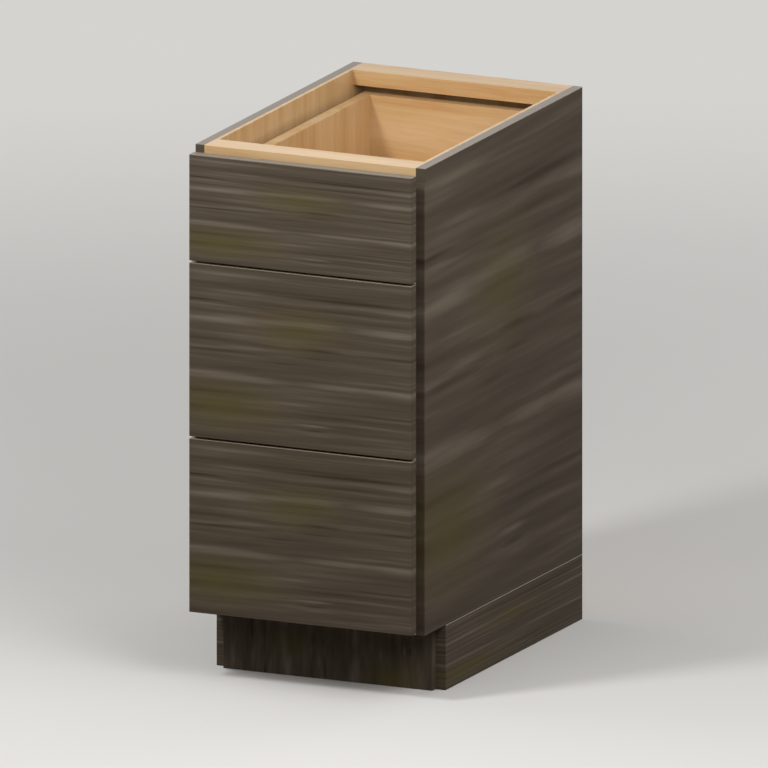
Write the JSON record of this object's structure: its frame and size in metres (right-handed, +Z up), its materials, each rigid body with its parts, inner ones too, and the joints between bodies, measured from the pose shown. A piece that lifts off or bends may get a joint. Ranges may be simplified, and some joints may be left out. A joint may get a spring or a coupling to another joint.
{
  "type": "base cabinet with drawers",
  "caption": "Base cabinet of slab-fronted drawers: dovetailed boxes on full-extension ball-bearing runners, open top with rails for a worktop, and a plinth with a set-back toe board.",
  "frame": {"origin": "on the floor, at the centre of the outer box, drawer fronts included", "axes": "+X to the right as seen from the front, +Y to the back, +Z up; the drawers open towards -Y"},
  "size_m": [0.4064, 0.6478, 0.8827],
  "materials": {
    "laminate": "matt grey-brown woodgrain laminate",
    "maple": "clear-lacquered maple",
    "drawer_maple": "clear-lacquered maple",
    "runner_steel": "bright zinc-plated roll-formed steel",
    "cage_steel": "zinc-plated pressed steel"
  },
  "bodies": {
    "cabinet": {"left_side_panel": "laminate", "right_side_panel": "laminate", "left_side_liner": "maple", "right_side_liner": "maple", "bottom_panel": "maple", "back_panel": "maple", "front_top_rail": "maple", "back_top_rail": "maple", "plinth_left_side": "laminate", "plinth_right_side": "laminate", "plinth_front_rail": "maple", "plinth_back_rail": "maple", "toe_board": "laminate", "top_left_outer_rail": "runner_steel", "top_right_outer_rail": "runner_steel", "middle_left_outer_rail": "runner_steel", "middle_right_outer_rail": "runner_steel", "bottom_left_outer_rail": "runner_steel", "bottom_right_outer_rail": "runner_steel"},
    "top_drawer": {"top_drawer_front": "laminate", "top_box_front": "drawer_maple", "top_box_back": "drawer_maple", "top_box_left_side": "drawer_maple", "top_box_right_side": "drawer_maple", "top_box_bottom": "drawer_maple", "top_left_inner_rail": "runner_steel", "top_right_inner_rail": "runner_steel"},
    "top_carriers": {"top_left_carrier_rail": "runner_steel", "top_right_carrier_rail": "runner_steel"},
    "top_outer_cages": {"top_outer_ball_cages": "cage_steel"},
    "top_inner_cages": {"top_inner_ball_cages": "cage_steel"},
    "middle_drawer": {"middle_drawer_front": "laminate", "middle_box_front": "drawer_maple", "middle_box_back": "drawer_maple", "middle_box_left_side": "drawer_maple", "middle_box_right_side": "drawer_maple", "middle_box_bottom": "drawer_maple", "middle_left_inner_rail": "runner_steel", "middle_right_inner_rail": "runner_steel"},
    "middle_carriers": {"middle_left_carrier_rail": "runner_steel", "middle_right_carrier_rail": "runner_steel"},
    "middle_outer_cages": {"middle_outer_ball_cages": "cage_steel"},
    "middle_inner_cages": {"middle_inner_ball_cages": "cage_steel"},
    "bottom_drawer": {"bottom_drawer_front": "laminate", "bottom_box_front": "drawer_maple", "bottom_box_back": "drawer_maple", "bottom_box_left_side": "drawer_maple", "bottom_box_right_side": "drawer_maple", "bottom_box_bottom": "drawer_maple", "bottom_left_inner_rail": "runner_steel", "bottom_right_inner_rail": "runner_steel"},
    "bottom_carriers": {"bottom_left_carrier_rail": "runner_steel", "bottom_right_carrier_rail": "runner_steel"},
    "bottom_outer_cages": {"bottom_outer_ball_cages": "cage_steel"},
    "bottom_inner_cages": {"bottom_inner_ball_cages": "cage_steel"}
  },
  "joints": [
    {"name": "top_drawer_slide", "type": "slide", "parent": "cabinet", "child": "top_drawer", "axis": [0, -1, 0], "range_m": [0, 0.5588]},
    {"name": "top_carriers_slide", "type": "slide", "parent": "cabinet", "child": "top_carriers", "axis": [0, -1, 0], "range_m": [0, 0.2794]},
    {"name": "top_outer_cages_slide", "type": "slide", "parent": "cabinet", "child": "top_outer_cages", "axis": [0, -1, 0], "range_m": [0, 0.1397]},
    {"name": "top_inner_cages_slide", "type": "slide", "parent": "cabinet", "child": "top_inner_cages", "axis": [0, -1, 0], "range_m": [0, 0.4191]},
    {"name": "middle_drawer_slide", "type": "slide", "parent": "cabinet", "child": "middle_drawer", "axis": [0, -1, 0], "range_m": [0, 0.5588]},
    {"name": "middle_carriers_slide", "type": "slide", "parent": "cabinet", "child": "middle_carriers", "axis": [0, -1, 0], "range_m": [0, 0.2794]},
    {"name": "middle_outer_cages_slide", "type": "slide", "parent": "cabinet", "child": "middle_outer_cages", "axis": [0, -1, 0], "range_m": [0, 0.1397]},
    {"name": "middle_inner_cages_slide", "type": "slide", "parent": "cabinet", "child": "middle_inner_cages", "axis": [0, -1, 0], "range_m": [0, 0.4191]},
    {"name": "bottom_drawer_slide", "type": "slide", "parent": "cabinet", "child": "bottom_drawer", "axis": [0, -1, 0], "range_m": [0, 0.5588]},
    {"name": "bottom_carriers_slide", "type": "slide", "parent": "cabinet", "child": "bottom_carriers", "axis": [0, -1, 0], "range_m": [0, 0.2794]},
    {"name": "bottom_outer_cages_slide", "type": "slide", "parent": "cabinet", "child": "bottom_outer_cages", "axis": [0, -1, 0], "range_m": [0, 0.1397]},
    {"name": "bottom_inner_cages_slide", "type": "slide", "parent": "cabinet", "child": "bottom_inner_cages", "axis": [0, -1, 0], "range_m": [0, 0.4191]}
  ],
  "couplings": [
    {"joint": "top_carriers_slide", "follows": "top_drawer_slide", "ratio": 0.5},
    {"joint": "top_outer_cages_slide", "follows": "top_drawer_slide", "ratio": 0.25},
    {"joint": "top_inner_cages_slide", "follows": "top_drawer_slide", "ratio": 0.75},
    {"joint": "middle_carriers_slide", "follows": "middle_drawer_slide", "ratio": 0.5},
    {"joint": "middle_outer_cages_slide", "follows": "middle_drawer_slide", "ratio": 0.25},
    {"joint": "middle_inner_cages_slide", "follows": "middle_drawer_slide", "ratio": 0.75},
    {"joint": "bottom_carriers_slide", "follows": "bottom_drawer_slide", "ratio": 0.5},
    {"joint": "bottom_outer_cages_slide", "follows": "bottom_drawer_slide", "ratio": 0.25},
    {"joint": "bottom_inner_cages_slide", "follows": "bottom_drawer_slide", "ratio": 0.75}
  ]
}
